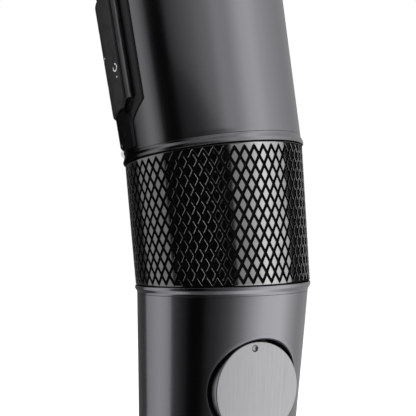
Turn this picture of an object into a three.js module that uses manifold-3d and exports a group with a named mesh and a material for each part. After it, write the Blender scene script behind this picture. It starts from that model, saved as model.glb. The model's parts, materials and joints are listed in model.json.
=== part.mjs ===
// A sous vide circulator: a bent round housing with a knurled grip above a straight heater tube,
// which hangs in a pot from the screw clamp at its back.
// Millimetres. +Z is up the heater tube, -Y is the control side, and the origin is the centre of
// the pump cap's flat underside.
import * as THREE from "three";
import { mergeVertices } from "three/addons/utils/BufferGeometryUtils.js";
import Module from "manifold-3d";

const wasm = await Module();
wasm.setup();

// ---- Driving dimensions -------------------------------------------------------------------------
const GAP = 0.3; // between pieces that touch on the real object
const SEGMENTS = 32; // sides of a full turn of the housing
const DEG = Math.PI / 180;

// The housing follows a bent centre line. Heights are measured along it, as if it were straight.
const GRIP_BOTTOM = 205; // the bend starts at the grip's lower edge
const GRIP_LENGTH = 42.04;
const GRIP_TOP = GRIP_BOTTOM + GRIP_LENGTH;
const GRIP_AXIS_LEAN = 6.56 * DEG;
const HEAD_AXIS_LEAN = 10.91 * DEG;
const LOWER_EDGE_LEAN = 3.9 * DEG; // lean of the section at the grip's lower edge
const UPPER_EDGE_LEAN = 8.86 * DEG; // and at its upper edge
const LOWER_FADE = 25; // length over which the section's lean dies out below the grip
const UPPER_FADE = 8; // length over which it reaches the head's lean above the grip
const GRIP_BOTTOM_R = 29.08;
const GRIP_TOP_R = 30.0;
const LOWER_R = 28.68; // lower housing at the grip
const LOWER_TAPER = 0.0617; // its loss of radius for each millimetre down
const HEAD_R = 29.93; // upper housing at the grip
const HEAD_TAPER = 0.0241; // its gain of radius for each millimetre up
const HOUSING_WALL = 2.0;
const BEAD_PROUD = 0.6;
const BEAD_HEIGHT = 2.5;

const LOWER_BOTTOM = 150.5;
const LOWER_TOP = GRIP_BOTTOM - BEAD_HEIGHT - 2 * GAP;
const UPPER_BOTTOM = GRIP_TOP + BEAD_HEIGHT + 2 * GAP;
const UPPER_TOP = 312;
const HEAD_TOP = 325;

const TUBE_R = 22.8;
const TUBE_WALL = 0.8;
const TUBE_BOTTOM = 20.6;
const TUBE_TOP = 155.5;
const CAP_TOP = 18;
const SHAFT_R = 2.0;

const DIAL_HEIGHT = 174.2; // centre of the dial's axis
const DIAL_ANGLE = 113.2 * DEG; // round the housing from the control side, towards +X
const DIAL_R = 14.3;
const DIAL_FACE = 25.0; // the dial's outer face, from the tube's axis
const WELL_R = 15.5;
const WELL_WALL = 0.9;

const PLATE_HALF = 16.6; // half width of the rocking control plate
const PLATE_BOTTOM = GRIP_TOP + 18;
const PLATE_TOP = GRIP_TOP + 55;
const PLATE_MIDDLE = (PLATE_BOTTOM + PLATE_TOP) / 2;
const PLATE_PROUD = 1.6;
const BEZEL_TOP = GRIP_TOP + 60;
const BEZEL_HALF = 22.6;
const STRIP_HALF = 17.1; // half width of the strip below the plate
const STRIP_BOTTOM = GRIP_TOP + 4.5;
const STRIP_PROUD = 0.95;
const BUTTON_HEIGHT = GRIP_TOP + 5.5;
const RECESS_HALF = 8.4; // half width of the recess round the start button
const RECESS_TOP = GRIP_TOP + 7.6;
const RECESS_DEPTH = 1.2;
const KEY_PIN_Y = -26.5;

const CLAMP_Z = 112; // height of the clamp screw
const CLAMP_X = 11; // half width of the clamp's pads
const PAD_FACE = 32.3; // the fixed pad's outer face
const JAW_FACE = 46; // the travelling pad's face with the clamp open
const LEG_IN = 58;
const LEG_OUT = 66;

// ---- Helpers ------------------------------------------------------------------------------------
// Merges a geometry's shared vertices, drops the flat triangles at a pole, and turns it outwards.
function weld(geometry) {
  const bare = new THREE.BufferGeometry();
  bare.setAttribute("position", geometry.getAttribute("position"));
  bare.setIndex(geometry.index);
  const merged = mergeVertices(bare, 1e-4);
  const p = merged.getAttribute("position");
  const [a, b, c] = [new THREE.Vector3(), new THREE.Vector3(), new THREE.Vector3()];
  const index = [];
  let volume = 0;
  for (let i = 0; i < merged.index.count; i += 3) {
    const [j, k, l] = [0, 1, 2].map((n) => merged.index.getX(i + n));
    if (j === k || k === l || l === j) continue;
    index.push(j, k, l);
    volume += a.fromBufferAttribute(p, j).dot(
      b.fromBufferAttribute(p, k).cross(c.fromBufferAttribute(p, l)));
  }
  merged.setIndex(volume < 0 ? index.reverse() : index);
  return merged;
}

// A geometry as a manifold-3d solid.
function solid(geometry) {
  const welded = weld(geometry);
  return new wasm.Manifold(new wasm.Mesh({
    numProp: 3,
    vertProperties: new Float32Array(welded.getAttribute("position").array),
    triVerts: new Uint32Array(welded.index.array),
  }));
}

// A manifold-3d solid as a geometry.
function geometryOf(manifold) {
  const mesh = manifold.getMesh();
  const geometry = new THREE.BufferGeometry();
  geometry.setAttribute("position", new THREE.BufferAttribute(mesh.vertProperties, 3));
  geometry.setIndex(new THREE.BufferAttribute(mesh.triVerts, 1));
  return geometry;
}

const join = (...parts) => parts.map(solid).reduce((whole, part) => whole.add(part));
const cut = (whole, ...cutters) => cutters.map(solid).reduce((rest, cutter) => rest.subtract(cutter), whole);

// A solid turned about Z from [radius, height] points that close on themselves or on the axis.
function turned(points, segments = SEGMENTS) {
  const outline = points.map(([r, z]) => new THREE.Vector2(r, z));
  if (points[0][0] > 0) outline.push(outline[0].clone());
  return new THREE.LatheGeometry(outline, segments).rotateX(Math.PI / 2);
}

const ring = (inner, outer, low, high, segments) =>
  turned([[inner, low], [outer, low], [outer, high], [inner, high]], segments);

const rod = (radius, low, high, segments = 16) =>
  new THREE.CylinderGeometry(radius, radius, high - low, segments)
    .rotateX(Math.PI / 2).translate(0, 0, (low + high) / 2);

// A rod along Y, centred on x and z.
const rodY = (radius, near, far, x, z, segments = 16) =>
  new THREE.CylinderGeometry(radius, radius, far - near, segments)
    .translate(0, (near + far) / 2, 0).translate(x, 0, z);

// A rod along X, centred on y and z.
const rodX = (radius, half, y, z, segments = 12) =>
  new THREE.CylinderGeometry(radius, radius, 2 * half, segments)
    .rotateZ(Math.PI / 2).translate(0, y, z);

// A box from its lowest to its highest corner.
const block = (x0, x1, y0, y1, z0, z1) =>
  new THREE.BoxGeometry(x1 - x0, y1 - y0, z1 - z0)
    .translate((x0 + x1) / 2, (y0 + y1) / 2, (z0 + z1) / 2);

const polygon = (points) => new THREE.Shape(points.map(([x, y]) => new THREE.Vector2(x, y)));

// An outline in x and z, extruded along Y from y0 to y1.
const pressedY = (shape, y0, y1) =>
  new THREE.ExtrudeGeometry(shape, { depth: y1 - y0, bevelEnabled: false, curveSegments: 4 })
    .rotateX(Math.PI / 2).translate(0, y1, 0);

// An outline in y and z, extruded along X over both half widths.
const pressedX = (shape, half) =>
  new THREE.ExtrudeGeometry(shape, { depth: 2 * half, bevelEnabled: false, curveSegments: 5 })
    .applyMatrix4(new THREE.Matrix4().set(0, 0, 1, -half, 1, 0, 0, 0, 0, 1, 0, 0, 0, 0, 0, 1));

function roundedBox(x0, x1, y0, y1, r) {
  const shape = new THREE.Shape();
  shape.moveTo(x0 + r, y0);
  shape.lineTo(x1 - r, y0).absarc(x1 - r, y0 + r, r, -Math.PI / 2, 0);
  shape.lineTo(x1, y1 - r).absarc(x1 - r, y1 - r, r, 0, Math.PI / 2);
  shape.lineTo(x0 + r, y1).absarc(x0 + r, y1 - r, r, Math.PI / 2, Math.PI);
  shape.lineTo(x0, y0 + r).absarc(x0 + r, y0 + r, r, Math.PI, 1.5 * Math.PI);
  return shape;
}

// ---- The bent centre line -------------------------------------------------------------------------
function spine(height) {
  if (height <= GRIP_BOTTOM) {
    const share = THREE.MathUtils.clamp((height - GRIP_BOTTOM + LOWER_FADE) / LOWER_FADE, 0, 1);
    return { y: 0, z: height, lean: LOWER_EDGE_LEAN * share };
  }
  const along = Math.min(height - GRIP_BOTTOM, GRIP_LENGTH);
  const gripLean = LOWER_EDGE_LEAN + (UPPER_EDGE_LEAN - LOWER_EDGE_LEAN) * (along / GRIP_LENGTH);
  const past = Math.max(height - GRIP_TOP, 0);
  const share = Math.min(past / UPPER_FADE, 1);
  return {
    y: -along * Math.sin(GRIP_AXIS_LEAN) - past * Math.sin(HEAD_AXIS_LEAN),
    z: GRIP_BOTTOM + along * Math.cos(GRIP_AXIS_LEAN) + past * Math.cos(HEAD_AXIS_LEAN),
    lean: gripLean + (HEAD_AXIS_LEAN - UPPER_EDGE_LEAN) * share,
  };
}

// Moves a geometry drawn round a straight axis onto the bent centre line.
function bend(geometry) {
  const p = geometry.getAttribute("position");
  for (let i = 0; i < p.count; i += 1) {
    const s = spine(p.getZ(i));
    const y = p.getY(i);
    p.setXYZ(i, p.getX(i), s.y + y * Math.cos(s.lean), s.z + y * Math.sin(s.lean));
  }
  return geometry;
}

function bodyRadius(height) {
  if (height < GRIP_BOTTOM) return LOWER_R - (GRIP_BOTTOM - height) * LOWER_TAPER;
  if (height > GRIP_TOP) return HEAD_R + (height - GRIP_TOP) * HEAD_TAPER;
  return GRIP_BOTTOM_R + (GRIP_TOP_R - GRIP_BOTTOM_R) * ((height - GRIP_BOTTOM) / GRIP_LENGTH);
}

// A shell that follows the body between two heights, set in from its surface by two depths.
function bodyShell(low, high, outerDepth, innerDepth, steps, segments) {
  const heights = Array.from({ length: steps + 1 }, (_, i) => low + ((high - low) * i) / steps);
  const outer = heights.map((z) => [bodyRadius(z) - outerDepth, z]);
  const inner = heights.map((z) => [bodyRadius(z) - innerDepth, z]).reverse();
  return turned([...outer, ...inner], segments);
}

// ---- Housing --------------------------------------------------------------------------------------
// A geometry drawn along +Z from the axis outwards, placed along the dial's axis.
const ontoDial = (geometry) =>
  geometry.rotateZ(Math.PI / 2).rotateY(Math.PI / 2)
    .rotateZ(DIAL_ANGLE - Math.PI / 2).translate(0, 0, DIAL_HEIGHT);

// A screw hole or head in the back of the housing.
const backRod = (radius, near, far, height) => bend(rodY(radius, near, far, 0, height, 12));

const lowerHousing = () =>
  cut(solid(bend(bodyShell(LOWER_BOTTOM, LOWER_TOP, 0, HOUSING_WALL, 5))),
    ontoDial(rod(WELL_R + WELL_WALL + GAP, 10, 40, 28)),
    backRod(2.6, 20, 32, 158), backRod(2.6, 20, 34, 197));

// A ring with a lip next to the grip and a slope from it down to the housing's surface.
// lipUp is +1 with the lip at the top and -1 with it at the bottom.
function beadRing(low, lipUp) {
  const r = bodyRadius(low);
  const middle = low + BEAD_HEIGHT / 2;
  const profile = [
    [r - HOUSING_WALL, -1.25], [r, -1.25], [r + 0.06, -0.95], [r + 0.5, -0.15], [r + BEAD_PROUD, 0.2],
    [r + BEAD_PROUD, 1.0], [r + BEAD_PROUD - 0.25, 1.25], [r - HOUSING_WALL, 1.25],
  ];
  return bend(turned(profile.map(([radius, rise]) => [radius, middle + rise * lipUp])));
}

const gripSleeve = () => bend(bodyShell(GRIP_BOTTOM, GRIP_TOP, 0, 2.0, 5));

// The bezel's outline seen from the front, in x and height, grown by a margin.
function bezelOutline(grow) {
  const right = [
    [STRIP_HALF + grow, STRIP_BOTTOM - grow], [STRIP_HALF + grow, GRIP_TOP + 12.6],
    [BEZEL_HALF + grow, GRIP_TOP + 18.3], [BEZEL_HALF + grow, BEZEL_TOP - 3],
    [BEZEL_HALF - 3 + grow, BEZEL_TOP + grow],
  ];
  return polygon([...right, ...right.map(([x, z]) => [-x, z]).reverse()]);
}

// The recess round the start button, open downwards, grown sideways by a margin.
const buttonRecess = (grow) => polygon([
  [-RECESS_HALF - grow, GRIP_TOP], [RECESS_HALF + grow, GRIP_TOP],
  [RECESS_HALF + grow, RECESS_TOP], [-RECESS_HALF - grow, RECESS_TOP],
]);

function upperHousing() {
  const shell = bend(bodyShell(UPPER_BOTTOM, UPPER_TOP, 0, HOUSING_WALL, 3));
  return cut(solid(shell),
    bend(pressedY(bezelOutline(GAP), -45, -10)),
    bend(pressedY(buttonRecess(GAP), -45, -10)),
    bend(block(-12.3, 12.3, 10, 40, 297.7, 310.3)),
    backRod(2.6, 20, 34, 259));
}

// The inner tube that ties lower housing, grip and upper housing together and carries the boards.
function innerChassis() {
  const shell = bend(bodyShell(163, 297, 2.7, 4.2, 7, 24));
  return cut(solid(shell),
    ontoDial(rod(WELL_R + WELL_WALL + GAP, 10, 40, 28)),
    bend(block(-19.5, 19.5, -45, -8, 254, 300)),
    bend(rodY(3.6, -45, -8, 0, BUTTON_HEIGHT, 16)),
    backRod(1.4, 20, 34, 197), backRod(1.4, 20, 34, 259));
}

function headCap() {
  const r = bodyRadius(UPPER_TOP);
  return bend(turned([
    [r - 3.4, UPPER_TOP - 1.4], [r - 2.4, UPPER_TOP - 1.4], [r - 2.4, UPPER_TOP + GAP], [r, UPPER_TOP + GAP],
    [r, UPPER_TOP + 4], [r - 0.7, UPPER_TOP + 8], [r - 2.6, UPPER_TOP + 11.2],
    [r - 5.4, UPPER_TOP + 12.8], [23.6, HEAD_TOP], [22.6, HEAD_TOP],
    [22.6, HEAD_TOP - 2.2], [20.5, HEAD_TOP - 2.2], [20.5, HEAD_TOP - 4],
    [r - 7, HEAD_TOP - 4], [r - 3.4, UPPER_TOP + 7],
  ]));
}

const displayWindow = () =>
  bend(turned([[0, HEAD_TOP - 1.9], [22.3, HEAD_TOP - 1.9], [22.3, HEAD_TOP - 0.6],
    [21.9, HEAD_TOP - 0.2], [0, HEAD_TOP - 0.2]], 32));

const displayBoard = () =>
  bend(turned([[0, 317.2], [19.6, 317.2], [19.6, 318.8], [16, 318.8], [16, 321.5], [0, 321.5]], 24));

// ---- Control side ---------------------------------------------------------------------------------
// Part of a shell round the head between two depths, kept where an outline seen from the front is.
const facing = (shape, outerDepth, innerDepth) =>
  solid(pressedY(shape, -45, -8)).intersect(
    solid(bodyShell(UPPER_BOTTOM, UPPER_TOP, outerDepth, innerDepth, 1, 64)));

// Bends a boolean's result onto the centre line.
const bent = (manifold) => bend(geometryOf(manifold));

function fasciaBezel() {
  const opening = polygon([
    [-15.4, GRIP_TOP + 14], [15.4, GRIP_TOP + 14], [21.2, GRIP_TOP + 19.4], [21.2, BEZEL_TOP - 3.6],
    [18.8, BEZEL_TOP - 1.4], [-18.8, BEZEL_TOP - 1.4], [-21.2, BEZEL_TOP - 3.6], [-21.2, GRIP_TOP + 19.4],
  ]);
  const strip = polygon([
    [-STRIP_HALF, STRIP_BOTTOM], [STRIP_HALF, STRIP_BOTTOM],
    [STRIP_HALF, GRIP_TOP + 12.6], [-STRIP_HALF, GRIP_TOP + 12.6],
  ]);
  const pan = facing(bezelOutline(0), -0.5, 1.8).subtract(facing(opening, -3, 0.8));
  const floor = polygon([
    [-RECESS_HALF, GRIP_TOP + 3.4], [RECESS_HALF, GRIP_TOP + 3.4],
    [RECESS_HALF, RECESS_TOP + 1.4], [-RECESS_HALF, RECESS_TOP + 1.4],
  ]);
  let whole = pan.add(facing(strip, -STRIP_PROUD, 1.8))
    .subtract(solid(pressedY(buttonRecess(0), -45, -10)))
    .add(facing(floor, RECESS_DEPTH, 2.3));
  for (const side of [-1, 1]) {
    whole = whole.add(solid(block(side * 5 - 1, side * 5 + 1, -29.4, -25, PLATE_MIDDLE - 2.2, PLATE_MIDDLE + 2.2)));
  }
  return bent(cut(whole,
    rodX(1.3, 8, KEY_PIN_Y, PLATE_MIDDLE),
    block(-3.4, 3.4, -33, -20, PLATE_MIDDLE - 2.6, PLATE_MIDDLE + 2.6),
    rodY(2.3, -33, -20, 0, PLATE_MIDDLE - 14), rodY(2.3, -33, -20, 0, PLATE_MIDDLE + 14),
    rodY(2.3, -45, -20, 0, BUTTON_HEIGHT)));
}

function controlPlate() {
  const corner = 2.6;
  const right = [
    [PLATE_HALF - corner, PLATE_BOTTOM], [PLATE_HALF, PLATE_BOTTOM + corner],
    [PLATE_HALF, PLATE_TOP - corner], [PLATE_HALF - corner, PLATE_TOP],
  ];
  const outline = polygon([...right, ...right.map(([x, z]) => [-x, z]).reverse()]);
  const rib = block(-2.5, 2.5, -31.8, -25, PLATE_MIDDLE - 1.7, PLATE_MIDDLE + 1.7);
  const pegs = [-14, 14].map((z) => solid(rodY(1.5, -31.8, -27.2, 0, PLATE_MIDDLE + z, 12)));
  const whole = pegs.reduce((plate, peg) => plate.add(peg),
    facing(outline, -PLATE_PROUD, -0.1).add(solid(rib)));
  return bent(cut(whole, rodX(1.3, 6, KEY_PIN_Y, PLATE_MIDDLE)));
}

function trimStrip(side) {
  const [near, far] = [17.2, 19.2].map((x) => side * x);
  const [low, high] = [GRIP_TOP + 20, PLATE_TOP];
  return bent(facing(polygon([[near, low], [far, low], [far, high], [near, high]]), -0.9, 0.5));
}

const keyPivotPin = () => bend(rodX(1.0, 7, KEY_PIN_Y, PLATE_MIDDLE));
const keySwitch = (offset) =>
  bend(block(-3, 3, -26.4, -21.2, PLATE_MIDDLE + offset - 3, PLATE_MIDDLE + offset + 3));
const controlBoard = () => bend(block(-14, 14, -20.9, -19.3, 262, 305));

// A ball-nosed plunger with a flange that keeps it in the bezel.
function startButton() {
  const nose = bodyRadius(BUTTON_HEIGHT) - 1.0;
  const ball = 1.95;
  const arc = Array.from({ length: 7 }, (_, i) => {
    const turn = (i / 6) * 100 * DEG;
    return [ball * Math.sin(turn), nose + ball * Math.cos(turn)];
  });
  const profile = [...arc, [1.6, nose - 0.8], [1.6, 27], [2.3, 27], [2.3, 26.2], [1.5, 26.2], [1.5, 24.8], [0, 24.8]];
  return bend(turned(profile, 20).rotateX(Math.PI / 2).translate(0, 0, BUTTON_HEIGHT));
}
const startSwitch = () => bend(block(-3.2, 3.2, -23.7, -19.5, BUTTON_HEIGHT - 3, BUTTON_HEIGHT + 3));

// ---- Dial -----------------------------------------------------------------------------------------
function dialWell() {
  const outer = WELL_R + WELL_WALL;
  const cup = ontoDial(turned([
    [3.4, 16.8], [outer, 16.8], [outer, 40], [WELL_R, 40], [WELL_R, 18.2], [3.4, 18.2],
  ], 28));
  return solid(cup).intersect(solid(bend(bodyShell(155, LOWER_TOP, 0, 14, 4))));
}

// A thick disc, recessed above and below its middle and standing proud at both sides for the fingers.
function dial() {
  const disc = ontoDial(turned([
    [0, 16.2], [2.9, 16.2], [2.9, 18.7], [DIAL_R - 0.6, 18.7], [DIAL_R, 19.3],
    [DIAL_R, DIAL_FACE - 0.5], [DIAL_R - 0.5, DIAL_FACE], [0, DIAL_FACE],
  ], 28));
  const dimple = ontoDial(new THREE.SphereGeometry(1.3, 10, 8).translate(-1.6, 12.2, DIAL_FACE + 0.7));
  return cut(solid(disc), dimple);
}

const dialEncoder = () => ontoDial(block(-5, 5, -6, 6, 12.9, 15.8));

// ---- Drive ----------------------------------------------------------------------------------------
const motorShaft = () => rod(SHAFT_R, 4.5, 204);
const motorMount = () =>
  cut(solid(ring(5.4, 23.1, TUBE_TOP + GAP, 157.4, 28)), rodZ(2.2, 17, 0), rodZ(2.2, -17, 0));
const motor = () =>
  turned([
    [2.4, 155.9], [5, 155.9], [5, 157.7], [12.3, 157.7], [12.3, 191], [5, 191], [5, 193.5], [2.4, 193.5],
  ], 20);

// A cutter along Z through the tube's plates, centred on x and y.
const rodZ = (radius, x, y, low = 0, high = 170) => rod(radius, low, high, 10).translate(x, y, 0);

// A hub with straight blades set at a pitch angle.
function bladed(count, bore, hub, low, high, reach, thick, pitch) {
  const blades = Array.from({ length: count }, (_, i) =>
    new THREE.BoxGeometry(reach - hub + 1, thick, high - low - 0.8)
      .rotateX(pitch)
      .translate((reach + hub - 1) / 2, 0, (low + high) / 2)
      .rotateZ((i * 2 * Math.PI) / count));
  return cut(join(rod(hub, low, high, 20), ...blades), rod(bore, low - 1, high + 1, 14));
}

const coolingFan = () => bladed(7, SHAFT_R + GAP, 4.6, 196.5, 203.5, 17, 1.0, 35 * DEG);

function impeller() {
  const backPlate = ring(3, 16.5, 10.6, 11.8, 24);
  return bladed(6, SHAFT_R + GAP, 4.4, 4.6, 14, 16, 1.2, 0).add(solid(backPlate))
    .subtract(solid(ring(4.4, 18, 11.8, 15, 24)));
}

const shaftBush = () => ring(SHAFT_R + GAP, 4.0, 15.8, 22, 20);
const shaftSeal = () => ring(SHAFT_R + GAP, 6, 147.3, 150.3, 20);

// ---- Heater tube ----------------------------------------------------------------------------------
function pumpCap() {
  const cup = turned([
    [0, 0], [TUBE_R - 1.2, 0], [TUBE_R, 1.2], [TUBE_R, CAP_TOP], [21.2, CAP_TOP], [21.2, 2.2], [0, 2.2],
  ]);
  const outlets = Array.from({ length: 6 }, (_, i) =>
    block(15, 30, -3.2, 3.2, 4.8, 12.4).rotateZ((i + 0.5) * 60 * DEG));
  const intakes = Array.from({ length: 8 }, (_, i) =>
    block(9, 18, -1.6, 1.6, -1, 3).rotateZ(i * 45 * DEG));
  return cut(solid(cup), ...outlets, ...intakes);
}

function pumpPlate() {
  const plate = turned([
    [4.3, 16.4], [6.4, 16.4], [6.4, 18.3], [19.4, 18.3], [19.4, 12.4], [20.9, 12.4], [20.9, 18.3],
    [TUBE_R, 18.3], [TUBE_R, 20.3], [21.6, 20.3], [21.6, 25], [20.4, 25], [20.4, 20.3], [4.3, 20.3],
  ], 24);
  const flow = Array.from({ length: 6 }, (_, i) =>
    rodZ(3.5, 12.5 * Math.cos(i * 60 * DEG), 12.5 * Math.sin(i * 60 * DEG)));
  return cut(solid(plate), ...flow);
}

// A slot with round ends through the tube's wall, drawn on the +X side.
function slot(width, low, high) {
  const shape = roundedBox(-width / 2, width / 2, low, high, width / 2 - 0.01);
  return pressedY(shape, -30, -15).rotateZ(Math.PI / 2);
}

function heaterTube() {
  const tube = ring(TUBE_R - TUBE_WALL, TUBE_R, TUBE_BOTTOM, TUBE_TOP);
  const slots = Array.from({ length: 6 }, (_, i) => slot(5, 30, 72).rotateZ((i + 0.5) * 60 * DEG));
  const vents = Array.from({ length: 4 }, (_, i) => slot(4, 120, 124.2).rotateZ((i * 90 + 45) * DEG));
  return cut(solid(tube), ...slots, ...vents);
}

function heaterCoil() {
  const [coilR, legR, turns, low, high, top] = [14.4, 8.6, 3.5, 33, 66, 141.2];
  const points = [[coilR, 0, top], [coilR, 0, 110], [coilR, 0, 78]];
  for (let i = 0; i <= turns * 12; i += 1) {
    const turn = i * 30 * DEG;
    points.push([coilR * Math.cos(turn), coilR * Math.sin(turn), high - ((high - low) * i) / (turns * 12)]);
  }
  points.push([-11.6, -3.4, 32.2], [-legR, -1.6, 40], [-legR, 0, 56], [-legR, 0, 100], [-legR, 0, top]);
  const path = new THREE.CatmullRomCurve3(points.map((p) => new THREE.Vector3(...p)), false, "centripetal");
  const section = new THREE.Shape().absarc(0, 0, 2.4, 0, 2 * Math.PI);
  return new THREE.ExtrudeGeometry(section, { steps: 84, curveSegments: 3, extrudePath: path, bevelEnabled: false });
}

const dippedRod = (radius, low, angle) =>
  turned([[0, low], [radius * 0.7, low + radius * 0.3], [radius, low + radius], [radius, 141.2], [0, 141.2]], 12)
    .translate(19.4 * Math.cos(angle), 19.4 * Math.sin(angle), 0);

const sealPlate = () => turned([
  [SHAFT_R + 0.6, 141.5], [21.7, 141.5], [21.7, 147], [SHAFT_R + 0.6, 147]], 28);

// ---- Electronics ----------------------------------------------------------------------------------
const mainBoard = () => bend(block(-19, 19, 8, 9.6, 256, 295));
const transformer = () => bend(block(-16, 0, -6, 7.7, 262, 278));
const powerRelay = () => bend(block(3, 15, -3, 7.7, 260, 275));
const capacitor = () => bend(rodY(5, -8, 7.7, 8, 286, 18));
function heatsink() {
  const fins = [-10, -5, 0, 5, 10].map((x) => block(x - 0.8, x + 0.8, 12, 20, 266, 290));
  return bend(geometryOf(join(block(-12, 12, 9.9, 12.5, 266, 290), ...fins)));
}

function powerInlet() {
  const face = 29.2;
  const cavity = pressedY(roundedBox(-8.5, 8.5, 299.8, 308.2, 4.1), 18.2, 40);
  const body = cut(solid(block(-12, 12, 15.5, face, 298, 310)), cavity);
  return bent([-4.3, 4.3].reduce((all, x) => all.add(solid(rodY(1.2, 17, 27, x, 304, 12))), body));
}

// ---- Clamp ----------------------------------------------------------------------------------------
function clampCollar() {
  const tongue = pressedY(roundedBox(-CLAMP_X - 1, CLAMP_X + 1, 98, 137.7, 2), 25.4, 30);
  const boss = block(-CLAMP_X - 1, CLAMP_X + 1, 24, 44, 128, 137.7);
  const whole = join(ring(TUBE_R + GAP, 27.4, 122, 148), tongue, boss);
  return cut(whole, rod(TUBE_R + GAP, 90, 160, SEGMENTS), rodZ(2.0, 0, 35), rodZ(2.0, 0, 41.5));
}

function clampBridge() {
  const r = 5;
  const side = new THREE.Shape();
  side.moveTo(28.5, 138).lineTo(LEG_IN, 138).lineTo(LEG_IN, 98).lineTo(LEG_OUT, 98);
  side.lineTo(LEG_OUT, 148 - r).absarc(LEG_OUT - r, 148 - r, r, 0, Math.PI / 2);
  side.lineTo(28.5, 148);
  return cut(solid(pressedX(side, 9)), rodY(4.3, 40, 80, 0, CLAMP_Z, 24),
    rodZ(2.0, 0, 35), rodZ(2.0, 0, 41.5), rodZ(3.6, 0, 35, 145, 150), rodZ(3.6, 0, 41.5, 145, 150));
}

const clampBolt = (y) =>
  geometryOf(join(rodZ(1.7, 0, y, 129, 146), rodZ(3.2, 0, y, 145.3, 147.8)));

const fixedPad = () =>
  pressedY(roundedBox(-CLAMP_X, CLAMP_X, CLAMP_Z - 11, CLAMP_Z + 11, 2.5), 30 + GAP, PAD_FACE);
const jawPad = () =>
  pressedY(roundedBox(-CLAMP_X, CLAMP_X, CLAMP_Z - 11, CLAMP_Z + 11, 2.5), JAW_FACE, JAW_FACE + 2);
const clampJaw = () =>
  join(pressedY(roundedBox(-CLAMP_X, CLAMP_X, CLAMP_Z - 11, CLAMP_Z + 11, 2.5), JAW_FACE + 2.3, JAW_FACE + 5),
    rodY(6, JAW_FACE + 4, JAW_FACE + 7, 0, CLAMP_Z, 20));

const clampScrew = () => rodY(4, JAW_FACE + 7.3, 88, 0, CLAMP_Z, 20);
function clampKnob() {
  const lobes = new THREE.Shape();
  const count = 60;
  for (let i = 0; i < count; i += 1) {
    const turn = (i / count) * 2 * Math.PI;
    const r = 13.4 + 1.2 * Math.cos(6 * turn);
    const [x, z] = [r * Math.cos(turn), CLAMP_Z + r * Math.sin(turn)];
    if (i === 0) lobes.moveTo(x, z);
    else lobes.lineTo(x, z);
  }
  return cut(solid(pressedY(lobes, 79, 91)), rodY(4 + GAP, 70, 88.4, 0, CLAMP_Z, 20));
}

// ---- Assembly -------------------------------------------------------------------------------------
const finish = (color, roughness, metalness) => ({ color, roughness, metalness });
const GUNMETAL = finish(0x3a3a40, 0.18, 0.7);
const BLACK_NICKEL = finish(0x56565a, 0.16, 0.9);
const GLOSS_BLACK = finish(0x0b0b0c, 0.12, 0.0);
const SATIN_BLACK = finish(0x17171a, 0.45, 0.0);
const DARK_PLATE = finish(0x2c2c2e, 0.4, 0.2);
const LIGHT_TRIM = finish(0x5c5c62, 0.3, 0.8);
const STEEL = finish(0xb8bbc0, 0.25, 1.0);
const CHROME = finish(0xd8dadd, 0.06, 1.0);
const GLASS = finish(0x101216, 0.05, 0.0);
const RUBBER = finish(0x1c1c1d, 0.85, 0.0);
const WHITE_PLASTIC = finish(0xd9d6cc, 0.5, 0.0);
const CIRCUIT = finish(0x1f5b3a, 0.5, 0.0);
const BRONZE = finish(0xa87c46, 0.4, 1.0);
const ALUMINIUM = finish(0xa9adb2, 0.4, 1.0);
const COPPER_RED = finish(0x7c4a2c, 0.5, 0.3);

const group = new THREE.Group();
group.name = "sous_vide_circulator";

function add(name, shape, look) {
  const geometry = weld(shape.isBufferGeometry ? shape : geometryOf(shape));
  geometry.computeVertexNormals();
  const mesh = new THREE.Mesh(geometry, new THREE.MeshStandardMaterial({ ...look, flatShading: true }));
  mesh.name = name;
  group.add(mesh);
}

add("head_cap", headCap(), GUNMETAL);
add("display_window", displayWindow(), GLASS);
add("display_board", displayBoard(), CIRCUIT);
add("upper_housing", upperHousing(), GUNMETAL);
add("fascia_bezel", fasciaBezel(), GLOSS_BLACK);
add("control_plate", controlPlate(), DARK_PLATE);
add("trim_strip_left", trimStrip(-1), LIGHT_TRIM);
add("trim_strip_right", trimStrip(1), LIGHT_TRIM);
add("key_pivot_pin", keyPivotPin(), STEEL);
add("key_switch_upper", keySwitch(14), SATIN_BLACK);
add("key_switch_lower", keySwitch(-14), SATIN_BLACK);
add("control_board", controlBoard(), CIRCUIT);
add("start_button", startButton(), CHROME);
add("start_switch", startSwitch(), SATIN_BLACK);
add("upper_bead_ring", beadRing(GRIP_TOP + GAP, -1), GUNMETAL);
add("grip_sleeve", gripSleeve(), BLACK_NICKEL);
add("lower_bead_ring", beadRing(GRIP_BOTTOM - GAP - BEAD_HEIGHT, 1), GUNMETAL);
add("lower_housing", lowerHousing(), GUNMETAL);
add("dial_well", dialWell(), GLOSS_BLACK);
add("dial", dial(), LIGHT_TRIM);
add("dial_encoder", dialEncoder(), SATIN_BLACK);
add("inner_chassis", innerChassis(), SATIN_BLACK);
add("main_board", mainBoard(), CIRCUIT);
add("transformer", transformer(), COPPER_RED);
add("power_relay", powerRelay(), WHITE_PLASTIC);
add("capacitor", capacitor(), GLOSS_BLACK);
add("heatsink", heatsink(), ALUMINIUM);
add("power_inlet", powerInlet(), SATIN_BLACK);
add("cooling_fan", coolingFan(), WHITE_PLASTIC);
add("motor", motor(), STEEL);
add("motor_mount", motorMount(), SATIN_BLACK);
add("motor_shaft", motorShaft(), STEEL);
add("shaft_seal", shaftSeal(), RUBBER);
add("seal_plate", sealPlate(), SATIN_BLACK);
add("heater_tube", heaterTube(), STEEL);
add("heater_coil", heaterCoil(), STEEL);
add("temperature_probe", dippedRod(1.7, 27, -90 * DEG), STEEL);
add("level_probe_low", dippedRod(1.4, 78, 60 * DEG), STEEL);
add("level_probe_high", dippedRod(1.4, 108, 120 * DEG), STEEL);
add("pump_plate", pumpPlate(), SATIN_BLACK);
add("shaft_bush", shaftBush(), BRONZE);
add("impeller", impeller(), SATIN_BLACK);
add("pump_cap", pumpCap(), SATIN_BLACK);
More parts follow.
